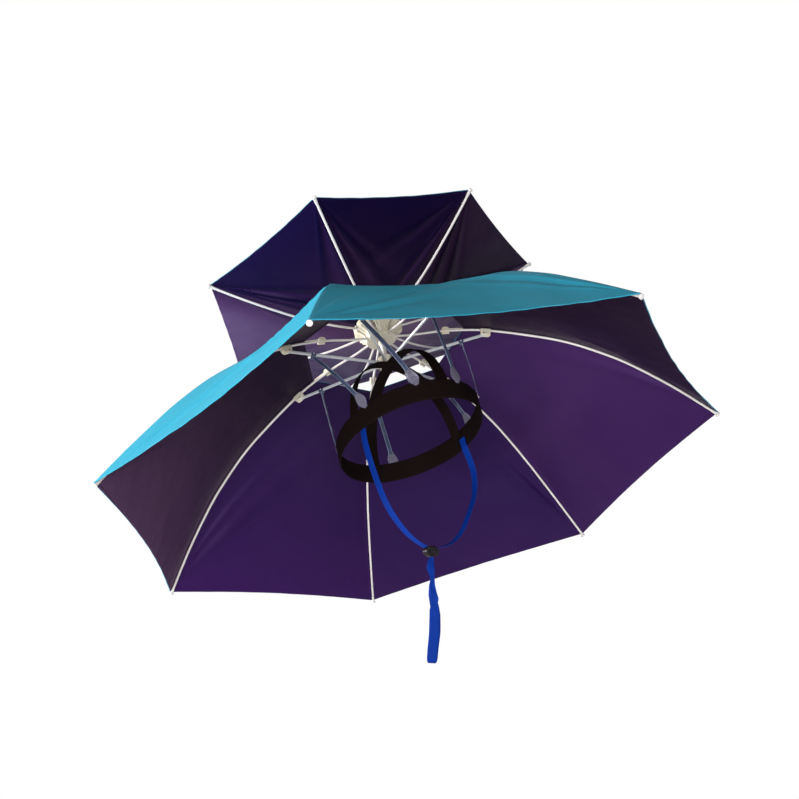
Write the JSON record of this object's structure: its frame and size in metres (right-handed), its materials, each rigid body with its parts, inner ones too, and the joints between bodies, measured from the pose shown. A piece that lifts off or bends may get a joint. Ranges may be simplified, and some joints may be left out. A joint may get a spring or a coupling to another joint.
{
  "type": "umbrella hat",
  "caption": "Hands-free umbrella hat: a vented lower canopy and a small upper canopy on folding ribs, held by a headband on legs, with a chin strap and cord lock.",
  "frame": {"origin": "on the hat's axis, level with the lower edge of the headband, where the head goes in", "axes": "+Z along the hat's axis towards the top cap, -Y towards the wearer's front, +X towards the wearer's left. The chin strap and its free end hang plumb as on a head that carries the hat tipped back by about 21 degrees, so they lean against +Z"},
  "size_m": [0.7271, 0.7091, 0.4809],
  "materials": {
    "canopy_cloth": "woven polyester, teal outside and purple satin inside",
    "plastic": "moulded, cream white",
    "rib_rods": "smooth white glass-fibre rod",
    "steel": "zinc-plated channel",
    "legs": "glossy, dark blue-grey",
    "elastic": "black woven elastic",
    "ribbon": "royal blue flat elastic ribbon",
    "lock": "moulded, near black"
  },
  "bodies": {
    "root": {"main_canopy": "canopy_cloth", "top_canopy": "canopy_cloth", "hub": "plastic", "runner": "plastic", "shaft": "steel", "top_cap": "plastic", "rib_1": "rib_rods", "rib_2": "rib_rods", "rib_3": "rib_rods", "rib_4": "rib_rods", "rib_5": "rib_rods", "rib_6": "rib_rods", "rib_7": "rib_rods", "upper_rib_1": "rib_rods", "upper_rib_2": "rib_rods", "upper_rib_3": "rib_rods", "upper_rib_4": "rib_rods", "upper_rib_5": "rib_rods", "upper_rib_6": "rib_rods", "upper_rib_7": "rib_rods", "knuckle_1": "plastic", "knuckle_2": "plastic", "knuckle_3": "plastic", "knuckle_4": "plastic", "knuckle_5": "plastic", "knuckle_6": "plastic", "knuckle_7": "plastic", "rib_clip_1": "plastic", "rib_clip_2": "plastic", "rib_clip_3": "plastic", "rib_clip_4": "plastic", "rib_clip_5": "plastic", "rib_clip_6": "plastic", "rib_clip_7": "plastic", "stretcher_1": "steel", "stretcher_2": "steel", "stretcher_3": "steel", "stretcher_4": "steel", "stretcher_5": "steel", "stretcher_6": "steel", "stretcher_7": "steel", "leg_1": "legs", "leg_2": "legs", "leg_3": "legs", "leg_4": "legs", "leg_5": "legs", "leg_6": "legs", "leg_7": "legs", "headband": "elastic", "crown_strap_cross": "elastic", "crown_strap_long": "elastic", "chin_strap_right": "ribbon", "chin_strap_left": "ribbon", "cord_lock": "lock", "strap_tail": "ribbon"}
  },
  "joints": []
}
